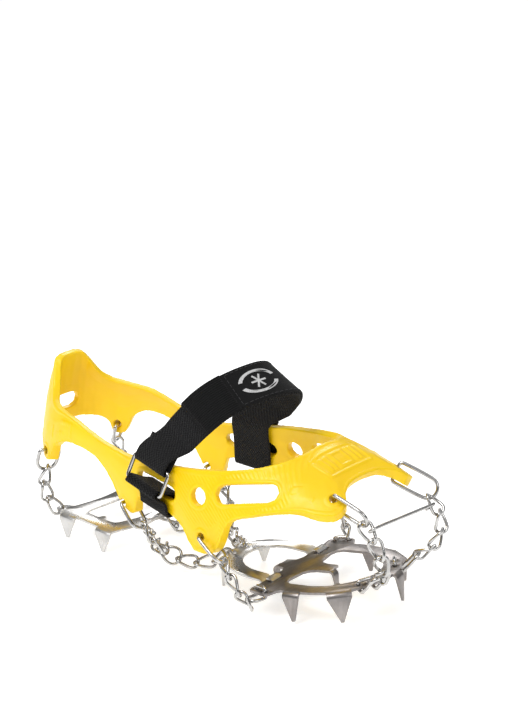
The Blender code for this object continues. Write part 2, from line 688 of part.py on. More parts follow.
def place_plate_shackle(name, holes, far, edge):
    """A wire loop through two holes of the fore plate, out under its edge and on to a round end.

    far is the middle of the round end's wire and edge is how far the plate's edge is from the holes.
    """
    level = SHEET / 2 + PLAY + SHACKLE_WIRE / 2
    first, second = (Vector((x, y, 0.0)) for x, y in holes)
    middle, half = (first + second) / 2, (second - first) / 2
    outward = Vector((half.y, -half.x, 0.0)).normalized()
    if outward.dot(far - middle) < 0:
        outward = -outward
    lift = Vector((0, 0, level))
    bend_at = outward * edge - lift
    points = [first + lift, second + lift, second - lift, second + bend_at, far + half,
              far - half, first + bend_at, first - lift]
    arm = half.length * 0.92
    radii = [1.5, 1.5, 1.6, 2.6, arm, arm, 2.6, 1.6]
    path = rounded([point * MM for point in points], [value * MM for value in radii], 3)
    frame = FORE @ axes(half, Vector((0, 0, 1)), middle * MM)
    inverse = frame.inverted() @ FORE
    bm = bmesh.new()
    tube(bm, [inverse @ point for point in path], SHACKLE_WIRE / 2 * MM, LINK_SIDES)
    add_object(name, finish_mesh(bm, name), STEEL_WIRE, frame)
    return FORE @ (far * MM)


SIDES = {"outer": 1.0, "inner": -1.0}
HOOK = (WIRE + PLAY) / 2 * MM


def names(side, run, count):
    return [f"link_{run}_{side}_{i + 1}" for i in range(count)]


# plate shackles: the middle of the round end's wire in the fore plate's own axes, and the edge
PLATE_FAR = {"toe": ((20.4, 68.6, 6.6), 4.7), "ball": ((49.6, -1.0, -2.2), 5.2)}
PLATE_HOLES = {"toe": FORE_FRONT_HOLES, "ball": FORE_SIDE_HOLES}
far_end = {}
for run, (far, edge) in PLATE_FAR.items():
    for side, sign in SIDES.items():
        holes = [(sign * x, y) for x, y in PLATE_HOLES[run]]
        spot = Vector((sign * far[0], far[1], far[2]))
        far_end[run, side] = place_plate_shackle(f"plate_shackle_{run}_{side}", holes, spot, edge)

# the crossing chains under the sole meet the arch chain at one wider link on each side
JOINT_CENTRE = {"outer": at(30.4, 36.5, 13.6), "inner": at(-26.0, 36.0, 13.6)}
for side, sign in SIDES.items():
    x, y = HEEL_REAR_HOLES[0]
    hole_centre = on_plate(HEEL, sign * x, y)
    far_end["heel", side] = hole_centre + way(sign * 0.7, -0.7, 0.0) * 3.75 * MM + way(0, 0, -1) * 0.95 * MM
    far_end["arch", side] = JOINT_CENTRE[side]

SPARE = {"heel": 2.2, "arch": 1.1, "ball": 1.1, "toe": 2.0}      # room beside the lug on each face
INNER_START = {"toe": (-36.5, 181.0, 70.0), "ball": (-50.8, 103.0, 30.0)}
chain_start = {}
for run, places in LUG_BORES.items():
    for side in SIDES:
        bore, start = places if side == "outer" else [inner_side(place) for place in places]
        start = at(*INNER_START.get(run, start)) if side == "inner" else at(*start)
        ahead = (far_end[run, side] - start).normalized()
        chain_start[run, side] = place_shackle(f"shackle_{run}_{side}", bore, start, ahead, SPARE[run])


# ---------------------------------------------------------------- chains
# how far each chain's last hook sits from the plain meeting point (across, along, up), and how far its
# first hook is turned about the chain, in degrees
SETTLE = {
    ("toe", "outer"): ((-0.3, -0.7, -0.6), 4.0),
    ("toe", "inner"): ((0.5, -1.0, -0.8), -20.0),
    ("ball", "outer"): ((-0.4, 0.2, -2.3), -10.0),
    ("ball", "inner"): ((0.0, 0.6, 0.0), -26.0),
    ("heel", "outer"): ((-0.7, 0.7, -0.3), 0.0),
    ("heel", "inner"): ((0.5, 0.1, -0.5), 0.0),
    ("arch", "outer"): ((-0.1, 0.8, 0.2), -23.0),
    ("arch", "inner"): ((-0.1, -0.2, -0.7), 6.0),
}
HEEL_LEAN = {"outer": 0.0, "inner": -0.1}
# the joint link's two hooks, in degrees to each side of its tip, and the turn of the rear chain
JOINT_HOOKS = {"outer": (50.0, 79.0), "inner": (31.0, 61.0)}
REAR_TURN = {"outer": (83.0, -30.5), "inner": (67.0, -24.5)}


def hooked(far, start, reach=1.0):
    """Where a chain ends when its last wire goes round a wire at `far`."""
    return far + (far - start).normalized() * HOOK * reach


def settled(run, side, end):
    across, along, up = SETTLE[run, side][0]
    return end + Vector((-across, -along, up)) * MM


for side, sign in SIDES.items():
    start = chain_start["toe", side]
    end = settled("toe", side, hooked(far_end["toe", side], start))
    lay_chain(names(side, "toe", 4), start, end, way(sign * 0.35, 0.9, 0.0), SETTLE["toe", side][1])

    start = chain_start["ball", side]
    end = settled("ball", side, hooked(far_end["ball", side], start, 1.8))
    count = 3 if side == "outer" else 2
    lay_chain(names(side, "ball", count), start, end, way(sign, 0.2, 0.3), SETTLE["ball", side][1])

    end = settled("heel", side, far_end["heel", side])
    bulge = way(sign * 0.7, -0.7, HEEL_LEAN[side])
    lay_chain(names(side, "heel", 3), chain_start["heel", side], end, bulge, SETTLE["heel", side][1])

    # three links and the joint link from the flex plate, then four links on to the heel plate
    front = flex_hole(sign)
    joint = JOINT_CENTRE[side]
    spots = lay_chain(names(side, "fore", 3) + [f"joint_link_{side}"], front + (joint - front).normalized() * HOOK,
                      joint, way(sign * 0.3, 0.0, -1.0), first_angle=90.0, meshes=[LINK] * 3 + [JOINT_LINK])
    lie = (spots[-1] - spots[-2]).normalized()
    radius = (JOINT_LINK_WIDTH - WIRE) / 2 * MM
    arc_centre = spots[-1] + lie * (HOOK - radius)
    x, y = HEEL_FRONT_HOLES[0]
    heel_front = on_plate(HEEL, sign * x, y)
    to_heel = (heel_front - arc_centre).normalized()
    to_rear, to_side = (math.radians(angle * sign) for angle in JOINT_HOOKS[side])
    rear_hook = arc_centre + Matrix.Rotation(-to_rear, 3, "Z") @ lie * (radius - 2 * HOOK)
    side_hook = arc_centre + Matrix.Rotation(to_side, 3, "Z") @ lie * (radius - 2 * HOOK)
    turn, relax = REAR_TURN[side]
    lay_chain(names(side, "rear", 4), rear_hook + to_heel * HOOK, heel_front - to_heel * HOOK,
              way(sign * 0.2, 0.0, -1.0), first_angle=turn, relax=relax)
    start = chain_start["arch", side]
    end = settled("arch", side, side_hook + (start - side_hook).normalized() * HOOK)
    lay_chain(names(side, "arch", 2), start, end, way(sign, 0.0, -0.8), SETTLE["arch", side][1])


# ---------------------------------------------------------------- toe wire
EYE_RADIUS = 2.6
TOE_WIRE = 2.0


def toe_wire():
    """A straight wire over the toe, with an open eye round the first link of each toe chain."""
    legs = {}
    for side, sign in SIDES.items():
        frame = bpy.data.objects[f"link_toe_{side}_1"].matrix_world
        leg = Vector((PITCH / 2, (LINK_WIDTH - WIRE) / 2, 0.0)) * MM
        options = [frame @ leg, frame @ Vector((leg.x, -leg.y, 0.0))]
        pick = min(options, key=lambda spot: abs(spot.x - at(-4, 0, 0).x))
        legs[side] = (pick, frame.to_3x3() @ Vector((1, 0, 0)))
    path = []
    span = legs["inner"][0] - legs["outer"][0]
    for side, order in (("outer", 1), ("inner", -1)):
        centre, hang_way = legs[side]
        towards = (span * order - hang_way * hang_way.dot(span * order)).normalized()
        front = way(0, 1, 0)
        front = (front - hang_way * hang_way.dot(front) - towards * towards.dot(front)).normalized()
        eye = []
        for degrees in range(340, 89, -25):
            angle = math.radians(degrees)
            eye.append(centre + (towards * math.cos(angle) + front * math.sin(angle)) * EYE_RADIUS * MM)
        path += eye if side == "outer" else list(reversed(eye))
    middle = (path[0] + path[-1]) / 2
    frame = axes(span, Vector((0, 0, 1)), middle)
    inverse = frame.inverted()
    bm = bmesh.new()
    tube(bm, [inverse @ point for point in path], TOE_WIRE / 2 * MM, LINK_SIDES, closed=False)
    add_object("toe_wire", finish_mesh(bm, "toe_wire"), STEEL_WIRE, frame)


toe_wire()

# ---------------------------------------------------------------- strap ring
RING_CENTRE = at(51.4, 47.0, 69.4)
RING_ALONG = way(0.10, 0.97, -0.20)
RING_UP = way(-0.30, 0.25, 0.92)
RING_LONG, RING_HIGH = 28.6, 14.6      # size of the ring along the middle of its wire
RING_UP = (RING_UP - RING_ALONG * RING_ALONG.dot(RING_UP)).normalized()


def strap_ring():
    half_long, half_high = RING_LONG / 2, RING_HIGH / 2
    corners = [(-half_long, 0.0), (half_long, 0.0), (half_long, 2 * half_high), (-half_long, 2 * half_high)]
    path = rounded([Vector((x, y, 0.0)) * MM for x, y in corners], 2.2 * MM, 3)
    bm = bmesh.new()
    tube(bm, path, SHACKLE_WIRE / 2 * MM, 8)
    origin = RING_CENTRE - RING_UP * half_high * MM
    add_object("strap_ring", finish_mesh(bm, "strap_ring"), STEEL_WIRE,
               axes(RING_ALONG, RING_ALONG.cross(RING_UP), origin))


strap_ring()


# ---------------------------------------------------------------- webbing
def ribbon(name, rows, width, closed=False, frame=None):
    """Flat webbing along rows of (place, direction of its width)."""
    inverse = frame.inverted() if frame else Matrix()
    count = len(rows)
    bm = bmesh.new()
    rings = []
    for i, (place, wide) in enumerate(rows):
        before = rows[i - 1][0] if closed or i > 0 else place
        after = rows[(i + 1) % count][0] if closed or i < count - 1 else place
        face = wide.cross(after - before).normalized()
        side, depth = wide * width / 2 * MM, face * WEBBING / 2 * MM
        corners = [place - side - depth, place + side - depth, place + side + depth, place - side + depth]
        rings.append([bm.verts.new(inverse @ corner) for corner in corners])
    for i in range(count if closed else count - 1):
        near, far = rings[i], rings[(i + 1) % count]
        for k in range(4):
            bm.faces.new((near[k], near[(k + 1) % 4], far[(k + 1) % 4], far[k]))
    if not closed:
        bm.faces.new(rings[0])
        bm.faces.new(rings[-1])
    add_object(name, finish_mesh(bm, name), WEBBING_BLACK, frame)


WRAP = SHACKLE_WIRE / 2 + 0.45 + WEBBING / 2      # from a bar's middle to the webbing round it
LAYER = WEBBING + 0.4                             # from one layer of webbing to the next


def soften(rows, steps):
    """More rows along a smooth curve through the given rows."""
    places = [row[0] for row in rows]
    result = []
    for i in range(len(rows) - 1):
        p0, p1 = places[max(i - 1, 0)], places[i]
        p2, p3 = places[i + 1], places[min(i + 2, len(rows) - 1)]
        for k in range(steps):
            t = k / steps
            spot = 0.5 * (2 * p1 + (p2 - p0) * t + (2 * p0 - 5 * p1 + 4 * p2 - p3) * t * t
                          + (3 * p1 - p0 - 3 * p2 + p3) * t ** 3)
            result.append((spot, rows[i][1].lerp(rows[i + 1][1], t).normalized()))
    result.append(rows[-1])
    return result


def ring_loop():
    """Webbing loop: round the ring's lower bar, down outside the band, under it and back through the slot."""
    across_way = way(1.0, -0.16, 0.0)
    across_way = (across_way - RING_ALONG * RING_ALONG.dot(across_way)).normalized()
    up_way = across_way.cross(RING_ALONG)
    up_way = up_way if up_way.z > 0 else -up_way
    base = at(46.5, 47.2, 50.4)
    bar = RING_CENTRE - RING_UP * RING_HIGH / 2 * MM
    base += RING_ALONG * (bar - base).dot(RING_ALONG)

    def spot(out, up):
        """A place given by its distance out of the band's outer face and up from its lower edge."""
        return base + (across_way * out + up_way * up) * MM

    out_bar = (bar - base).dot(across_way) / MM
    up_bar = (bar - base).dot(up_way) / MM
    band_along = way(0.17, 0.98, -0.11)
    rows = []
    for degrees in (130, 90, 50, 10, -30):
        angle = math.radians(degrees)
        rows.append((spot(out_bar + WRAP * math.cos(angle), up_bar + WRAP * math.sin(angle)), RING_ALONG))
    for out, up, slip in ((2.6, 5.2, 3.0), (2.0, 1.0, 4.8), (1.3, -1.9, 4.8), (-0.8, -3.0, 4.8), (-4.2, -3.0, 4.8),
                          (-6.2, -1.9, 4.8), (-7.1, 0.5, 4.8), (-7.1, 7.2, 4.4), (-6.2, 9.4, 4.0),
                          (-4.0, 10.3, 3.2), (-0.8, 11.0, 2.0)):
        rows.append((spot(out, up) + band_along * slip * MM, band_along))
    ribbon("ring_loop", rows, STRAP_WIDTH, closed=True)


ring_loop()

TOP_BAR = RING_CENTRE + RING_UP * RING_HIGH / 2 * MM
# the strap's middle line over the instep, with the direction of its width
OVER = [
    (at(40.6, 59.0, 90.0), way(0.11, 0.92, -0.34)),
    (at(30.0, 73.0, 108.0), way(0.12, 0.82, -0.52)),
    (at(16.5, 82.0, 116.5), way(0.16, 0.80, -0.56)),
    (at(-4.0, 88.5, 119.5), way(0.10, 0.80, -0.58)),
    (at(-18.0, 88.0, 115.5), way(-0.16, 0.80, -0.56)),
    (at(-28.5, 79.0, 104.0), way(-0.30, 0.80, -0.52)),
    (at(-33.6, 66.0, 90.0), way(-0.24, 0.90, -0.34)),
]


def shifted(rows, distance):
    """The rows moved off the shoe by a distance."""
    result = []
    for i, (place, wide) in enumerate(rows):
        before, after = rows[max(i - 1, 0)][0], rows[min(i + 1, len(rows) - 1)][0]
        face = wide.cross(after - before).normalized()
        if face.dot(place - at(0.0, 60.0, 60.0)) < 0:
            face = -face
        result.append((place + face * distance * MM, wide))
    return result


def strap():
    """Under layer: folded round the ring, over the instep, and round the band on the inner side."""
    up_way = (OVER[0][0] - TOP_BAR)
    up_way = (up_way - RING_ALONG * RING_ALONG.dot(up_way)).normalized()
    out_way = up_way.cross(RING_ALONG)
    if out_way.dot(way(1, 0, 0)) < 0:
        out_way = -out_way
    rows = []
    for out, up in ((-1.4, 15.0), (-2.0, 7.0)):
        rows.append((TOP_BAR + out_way * out * MM + up_way * up * MM, RING_ALONG))
    for degrees in range(180, 361, 30):
        angle = math.radians(degrees)
        rows.append((TOP_BAR + (out_way * math.cos(angle) + up_way * math.sin(angle)) * WRAP * MM, RING_ALONG))
    rows.append((TOP_BAR + out_way * 1.6 * MM + up_way * 7.0 * MM, RING_ALONG))
    rows += soften(OVER, 3)
    wide = way(-0.19, 0.975, -0.12)
    for place in ((-31.2, 54.0, 80.0), (-31.4, 51.6, 74.0), (-34.2, 50.4, 64.0), (-35.1, 50.0, 53.0), (-35.3, 50.0, 48.6),
                  (-36.8, 50.0, 47.3), (-40.4, 50.0, 47.3), (-41.9, 50.0, 48.6), (-42.3, 50.0, 53.0),
                  (-42.0, 50.4, 64.0), (-39.8, 51.6, 74.5), (-38.8, 53.4, 79.5)):
        rows.append((at(*place), wide))
    ribbon("strap", rows, STRAP_WIDTH)


strap()


def strap_flap():
    """Top layer: from the end of the under layer on the inner side, back over the instep."""
    rows = list(reversed(shifted(soften(OVER, 3), LAYER)))
    start = [(at(-39.6, 56.0, 83.6), way(-0.14, 0.97, -0.14)), (at(-38.0, 60.6, 87.6), way(-0.20, 0.94, -0.26))]
    ribbon("strap_flap", start + rows[2:-2], STRAP_WIDTH, frame=axes(way(-0.12, 0.99, 0.0), Vector((0, 0, 1)),
                                                                  at(-40.2, 54.6, 81.6)))


strap_flap()
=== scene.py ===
"""Looks for a shoe ice cleat: moulded harness, spiked plates, chains and a webbing strap.

Places and sizes are millimetres in the shoe's own terms: across (+ to the outer side of the shoe), along
(+ to the toe) and up from the ground. at() turns a place into the frame's metres, way() turns a direction,
and measures() goes back. Values that go straight to Blender are in metres.
"""

import json
import math

import bmesh
import bpy
from mathutils import Matrix, Vector
from mathutils.kdtree import KDTree

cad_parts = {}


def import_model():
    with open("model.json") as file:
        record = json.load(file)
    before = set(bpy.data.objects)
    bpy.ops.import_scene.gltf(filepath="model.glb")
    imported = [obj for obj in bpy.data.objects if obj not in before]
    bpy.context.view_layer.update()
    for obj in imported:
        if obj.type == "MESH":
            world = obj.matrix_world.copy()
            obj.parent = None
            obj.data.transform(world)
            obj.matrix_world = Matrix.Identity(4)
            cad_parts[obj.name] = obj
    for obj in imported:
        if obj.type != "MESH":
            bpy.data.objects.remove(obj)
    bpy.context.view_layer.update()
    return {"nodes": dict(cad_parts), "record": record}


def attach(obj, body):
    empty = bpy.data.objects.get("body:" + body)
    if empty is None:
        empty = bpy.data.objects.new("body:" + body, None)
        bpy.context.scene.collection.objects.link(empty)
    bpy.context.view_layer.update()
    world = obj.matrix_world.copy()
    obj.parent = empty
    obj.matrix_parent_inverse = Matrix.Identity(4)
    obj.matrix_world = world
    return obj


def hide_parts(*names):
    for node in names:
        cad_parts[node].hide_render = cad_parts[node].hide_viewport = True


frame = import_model()
NODES = frame["nodes"]
BODY_OF = {node: body for body, members in frame["record"]["behaviour"]["bodies"].items() for node in members}
MM = 0.001


def at(across, along, up):
    return Vector((1.6 - across, 57.95 - along, up)) * MM


def way(across, along, up):
    return Vector((-across, -along, up)).normalized()


def measures(place):
    return Vector((1.6 - place.x / MM, 57.95 - place.y / MM, place.z / MM))


# ---------------------------------------------------------------- materials
def material(name, colour, roughness, metallic=0.0):
    mat = bpy.data.materials.new(name)
    mat.use_nodes = True
    tree = mat.node_tree
    shader = tree.nodes["Principled BSDF"]
    shader.inputs["Base Color"].default_value = (*colour, 1.0)
    shader.inputs["Roughness"].default_value = roughness
    shader.inputs["Metallic"].default_value = metallic
    return mat, tree, shader


def node(tree, kind, **values):
    """A new node. Each value sets one of the node's own settings or, failing that, the input of that name."""
    made = tree.nodes.new(kind)
    for key, value in values.items():
        if hasattr(made, key):
            setattr(made, key, value)
        else:
            made.inputs[key].default_value = value
    return made


def calculate(tree, operation, *values):
    """A math node's output. Each value is a number or another node's output."""
    made = node(tree, "ShaderNodeMath", operation=operation)
    for socket, value in zip(made.inputs, values):
        if isinstance(value, float):
            socket.default_value = value
        else:
            tree.links.new(value, socket)
    return made.outputs[0]


def coords(tree, scale=(1.0, 1.0, 1.0), output="Object"):
    """Texture coordinates multiplied by the scale."""
    source = node(tree, "ShaderNodeTexCoord")
    mapping = node(tree, "ShaderNodeMapping")
    mapping.inputs["Scale"].default_value = scale
    tree.links.new(source.outputs[output], mapping.inputs["Vector"])
    return mapping.outputs["Vector"]


def noise(tree, vector, scale, detail=4.0, roughness=0.55):
    made = node(tree, "ShaderNodeTexNoise", Scale=scale, Detail=detail, Roughness=roughness)
    tree.links.new(vector, made.inputs["Vector"])
    return made.outputs["Fac"]


def ramp(tree, source, stops):
    """A colour ramp from (position, colour or grey) stops."""
    made = node(tree, "ShaderNodeValToRGB")
    elements = made.color_ramp.elements
    while len(elements) < len(stops):
        elements.new(0.5)
    for element, (position, colour) in zip(elements, stops):
        element.position = position
        grey = (colour,) * 3 if isinstance(colour, float) else colour
        element.color = (*grey, 1.0)
    tree.links.new(source, made.inputs["Fac"])
    return made.outputs["Color"]


def bump(tree, shader, source, distance, strength, below=None):
    """Bumps of the given depth in metres, over the bumps below if there are any."""
    made = node(tree, "ShaderNodeBump", Strength=strength, Distance=distance)
    tree.links.new(source, made.inputs["Height"])
    if below is not None:
        tree.links.new(below, made.inputs["Normal"])
    tree.links.new(made.outputs["Normal"], shader.inputs["Normal"])
    return made.outputs["Normal"]


def elastomer():
    """Moulded yellow rubber: slightly uneven in colour and gloss, with a fine grain."""
    mat, tree, shader = material("elastomer_yellow", (0.96, 0.62, 0.0), 0.38)
    vector = coords(tree)
    shade = ramp(tree, noise(tree, vector, scale=28.0, detail=3.0),
                 [(0.3, (0.94, 0.60, 0.0)), (0.7, (0.98, 0.665, 0.001))])
    tree.links.new(shade, shader.inputs["Base Color"])
    rough = ramp(tree, noise(tree, vector, scale=160.0, detail=5.0), [(0.35, 0.31), (0.7, 0.46)])
    tree.links.new(rough, shader.inputs["Roughness"])
    shader.inputs["Subsurface Weight"].default_value = 0.08
    shader.inputs["Subsurface Radius"].default_value = (0.004, 0.003, 0.0006)
    shader.inputs["Subsurface Scale"].default_value = 1.0
    shader.inputs["Specular IOR Level"].default_value = 0.40
    grain = bump(tree, shader, noise(tree, vector, scale=1400.0, detail=2.0), distance=0.00003, strength=0.35)
    swells = noise(tree, vector, scale=90.0, detail=2.0)
    bump(tree, shader, swells, distance=0.00012, strength=0.25, below=grain)
    return mat


def steel(name, dark, light, roughness, stretch, cloud_scale):
    """Sheet or wire with a rolled surface: faint streaks one way, and cloudy stains.

    roughness is the light parts' and then the dark parts'.
    """
    mat, tree, shader = material(name, light, roughness[0], metallic=1.0)
    streaks = noise(tree, coords(tree, stretch), scale=55.0, detail=6.0, roughness=0.7)
    clouds = noise(tree, coords(tree), scale=cloud_scale, detail=5.0, roughness=0.6)
    streak_share = 0.45
    stains = calculate(tree, "MULTIPLY", clouds, 1 - streak_share)
    mixed = calculate(tree, "MULTIPLY_ADD", streaks, streak_share, stains)
    tree.links.new(ramp(tree, mixed, [(0.32, dark), (0.66, light)]), shader.inputs["Base Color"])
    rough = ramp(tree, mixed, [(0.3, roughness[1]), (0.7, roughness[0])])
    tree.links.new(rough, shader.inputs["Roughness"])
    bump(tree, shader, streaks, distance=0.00003, strength=0.3)
    return mat


def webbing(name, pitch_along, pitch_across, depth, loops=0.0):
    """Black woven tape. UV is across and along the tape, and pitches and depth are in metres too."""
    tint = 0.004
    mat, tree, shader = material(name, (tint,) * 3, 0.82)
    parts = node(tree, "ShaderNodeSeparateXYZ")
    tree.links.new(coords(tree, output="UV"), parts.inputs[0])
    waves = []
    for axis, pitch in (("X", pitch_across), ("Y", pitch_along)):
        turned = calculate(tree, "MULTIPLY", parts.outputs[axis], 2 * math.pi / pitch)
        waves.append(calculate(tree, "SINE", turned))
    weave = calculate(tree, "MULTIPLY", *waves)
    fuzz = noise(tree, coords(tree), scale=900.0, detail=4.0, roughness=0.7)
    height = calculate(tree, "MULTIPLY_ADD", fuzz, 1.0 + 2.2 * loops, weave)
    # The base colour follows the tape's height: painted shade in the weave's hollows and painted highlight on
    # its raised threads, with random tone from the fuzz.
    shade = ramp(tree, height, [(0.25, (tint * 0.45,) * 3), (1.0, (tint * 2.3, tint * 2.3, tint * 2.45))])
    tree.links.new(shade, shader.inputs["Base Color"])
    shader.inputs["Sheen Weight"].default_value = 0.05
    shader.inputs["Sheen Roughness"].default_value = 0.5
    shader.inputs["Specular IOR Level"].default_value = 0.16
    bump(tree, shader, height, depth, strength=0.8)
    return mat


def mark_print():
    """Worn grey print."""
    mat, tree, shader = material("mark_grey", (0.52, 0.53, 0.54), 0.55)
    worn = ramp(tree, noise(tree, coords(tree), scale=1800.0), [(0.3, 0.36), (0.6, 0.60)])
    tree.links.new(worn, shader.inputs["Base Color"])
    return mat


def white_floor():
    mat, tree, shader = material("floor_white", (0.90, 0.90, 0.905), 0.55)
    shade = ramp(tree, noise(tree, coords(tree), scale=3.0), [(0.3, 0.885), (0.7, 0.905)])
    tree.links.new(shade, shader.inputs["Base Color"])
    shader.inputs["Emission Color"].default_value = (1.0, 1.0, 1.0, 1.0)
    shader.inputs["Emission Strength"].default_value = 0.55
    return mat


YELLOW = elastomer()
# The fore plate's steel is darker all over as painted reflection of the dark boot in its teeth; its streaks
# and stains are as on the other steel.
STEEL_PAINTED_REFLECTION = steel("steel_painted_boot_reflection", dark=(0.20, 0.185, 0.18), light=(0.36, 0.335, 0.325),
                   roughness=(0.30, 0.44), stretch=(1.0, 7.0, 1.0), cloud_scale=60.0)
PLATE_STEEL = steel("steel_plate", dark=(0.42, 0.415, 0.41), light=(0.66, 0.655, 0.645),
                    roughness=(0.22, 0.36), stretch=(6.0, 1.0, 1.0), cloud_scale=70.0)
WIRE_STEEL = steel("steel_wire", dark=(0.34, 0.335, 0.33), light=(0.62, 0.615, 0.605),
                   roughness=(0.14, 0.26), stretch=(1.0, 1.0, 3.0), cloud_scale=240.0)
LOOP_TAPE = webbing("tape_loop", pitch_along=0.0022, pitch_across=0.0019, depth=0.0006, loops=1.4)
RIB_TAPE = webbing("tape_rib", pitch_along=0.0009, pitch_across=0.0050, depth=0.0004)
WEAVE_TAPE = webbing("tape_weave", pitch_along=0.0013, pitch_across=0.0026, depth=0.0004)
SMOOTH_PATCH = webbing("tape_patch", pitch_along=0.0007, pitch_across=0.0007, depth=0.0001)
DARK_THREAD = material("thread_black", (0.03, 0.03, 0.032), 0.6)[0]
MARK = mark_print()
FLOOR_WHITE = white_floor()


# ---------------------------------------------------------------- mesh helpers
def add(name, bm, mat, smooth=True):
    mesh = bpy.data.meshes.new(name)
    bm.to_mesh(mesh)
    bm.free()
    for face in mesh.polygons:
        face.use_smooth = smooth
    mesh.materials.append(mat)
    made = bpy.data.objects.new(name, mesh)
    bpy.context.scene.collection.objects.link(made)
    return made


def cad_mesh(name, quads=True):
    """The CAD node's own faces, joined up again, as a new bmesh in the frame's metres."""
    bm = bmesh.new()
    bm.from_mesh(NODES[name].data)
    bmesh.ops.remove_doubles(bm, verts=bm.verts, dist=2e-6)
    if quads:
        bmesh.ops.join_triangles(bm, faces=bm.faces, angle_face_threshold=math.radians(40),
                                 angle_shape_threshold=math.radians(60), cmp_seam=False, cmp_sharp=False,
                                 cmp_uvs=False, cmp_vcols=False, cmp_materials=False)
    return bm


def modify(made, kind, **values):
    modifier = made.modifiers.new(kind.lower(), kind)
    for key, value in values.items():
        setattr(modifier, key, value)


def applied(made):
    """Replaces the object's mesh by its modified mesh, smoothly shaded."""
    bpy.context.view_layer.update()
    depsgraph = bpy.context.evaluated_depsgraph_get()
    mesh = bpy.data.meshes.new_from_object(made.evaluated_get(depsgraph), depsgraph=depsgraph)
    made.modifiers.clear()
    made.data = mesh
    for face in mesh.polygons:
        face.use_smooth = True
    return made


def stands_for(made, name):
    """The object rides with the CAD node's body and is seen in that node's place."""
    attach(made, BODY_OF[name])
    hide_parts(name)


def curve_point(p0, p1, p2, p3, t):
    """A place on the smooth curve through four places, between the second (t = 0) and the third (t = 1)."""
    return 0.5 * (2 * p1 + (p2 - p0) * t + (2 * p0 - 5 * p1 + 4 * p2 - p3) * t * t
                  + (3 * p1 - p0 - 3 * p2 + p3) * t ** 3)


# ---------------------------------------------------------------- wires and chains
WIRE_STARTS = ("link_", "joint_link", "shackle_", "plate_shackle")
WIRE_SWELL, RING_SWELL = 0.00012, 0.00010    # metres, given back to wire that subdivision thins


def wires():
    names = [name for name in NODES if name.startswith(WIRE_STARTS)]
    for name in names + ["strap_ring", "toe_wire"]:
        made = add(f"{name}_wire", cad_mesh(name), WIRE_STEEL)
        modify(made, "SUBSURF", levels=2, render_levels=2)
        swell = RING_SWELL if name == "strap_ring" else WIRE_SWELL
        modify(made, "DISPLACE", strength=swell, mid_level=0.0, direction="NORMAL")
        stands_for(applied(made), name)


wires()

# ---------------------------------------------------------------- plates
# The fore plate takes the steel whose darker colour is painted reflection of the boot.
SHEETS = [("fore_plate", STEEL_PAINTED_REFLECTION, "dark_steel_sheet"), ("flex_plate", PLATE_STEEL, "steel_sheet"),
          ("heel_plate", PLATE_STEEL, "steel_sheet")]
SHEET_ROUNDING = 0.00022    # metres, on the sheet's sheared edges


def plates():
    for name, mat, slot in SHEETS:
        bm = cad_mesh(name, quads=False)
        bmesh.ops.dissolve_limit(bm, angle_limit=math.radians(1.0), verts=bm.verts, edges=bm.edges)
        made = add(f"{name}_sheet", bm, mat)
        modify(made, "BEVEL", width=SHEET_ROUNDING, segments=2, limit_method="ANGLE",
               angle_limit=math.radians(35))
        stands_for(applied(made), name)
        made.data.set_sharp_from_angle(angle=math.radians(28))


plates()

# ---------------------------------------------------------------- harness
# The band's lower and upper edge on the outer side, from the heel's middle to the toe's middle.
LOWER = [(0, -76.5, 60), (10, -75.3, 60), (18, -71.5, 59.5), (24.5, -66, 58.5), (29, -61, 55),
         (31, -58.5, 49), (34.4, -50.5, 49.5), (35.8, -44.5, 60.5), (37.4, -33, 66.2), (38.6, -20, 66.6),
         (39.2, -7, 63.9), (39.8, 2, 57.5), (40.6, 8.5, 50.5), (41.5, 14.5, 42.5), (42.4, 22.5, 37.6),
         (43.2, 28, 39.4), (43.6, 31, 49.6), (45.2, 41, 50.7), (47.2, 52.7, 50.2), (49.2, 64.5, 47.2),
         (50.6, 72, 43), (52, 81, 33), (52.8, 95.5, 35.5), (52.8, 101, 44), (51.8, 104.5, 53.5),
         (50.6, 109.5, 58.6), (49.2, 119, 62.2), (46.6, 130, 66.2), (43, 142, 69.4), (40.6, 150.5, 70.6),
         (38.4, 158, 70), (33.5, 166.5, 70.2), (26, 168.5, 74.2), (20.5, 163.5, 77.6), (12, 159.6, 80),
         (0, 158.6, 80.8)]
UPPER = [(0, -68.5, 105), (9.5, -67.2, 104), (15.5, -62.5, 96), (20, -58.8, 89), (25, -54.5, 85),
         (28.6, -49.5, 83.4), (31.4, -42.5, 82.3), (33.4, -35.5, 81.8), (35.6, -27, 80.8),
         (37.4, -15.5, 77.6), (38.6, -4, 74.4), (39.2, 6, 72.4), (39.8, 14, 71.4), (40.3, 19.5, 71),
         (41, 25, 70.9), (41.6, 30, 71.3), (42.1, 35, 72), (43, 43, 73.3), (44.4, 53, 75), (45.2, 63, 76.3),
         (45.2, 70, 77.2), (45, 78, 78.4), (43.4, 90, 80.4), (42.4, 96, 81.4), (41, 101.5, 82.6),
         (39, 107.5, 83.8), (35.6, 114.5, 85.4), (31.2, 120.5, 87.2), (26, 125.2, 88.8), (22, 127.6, 89.8),
         (18.4, 129.2, 90.6), (15, 130.2, 91.2), (11.6, 130.8, 91.8), (8.4, 131, 92.2), (4.4, 131, 92.6),
         (0, 131, 92.8)]
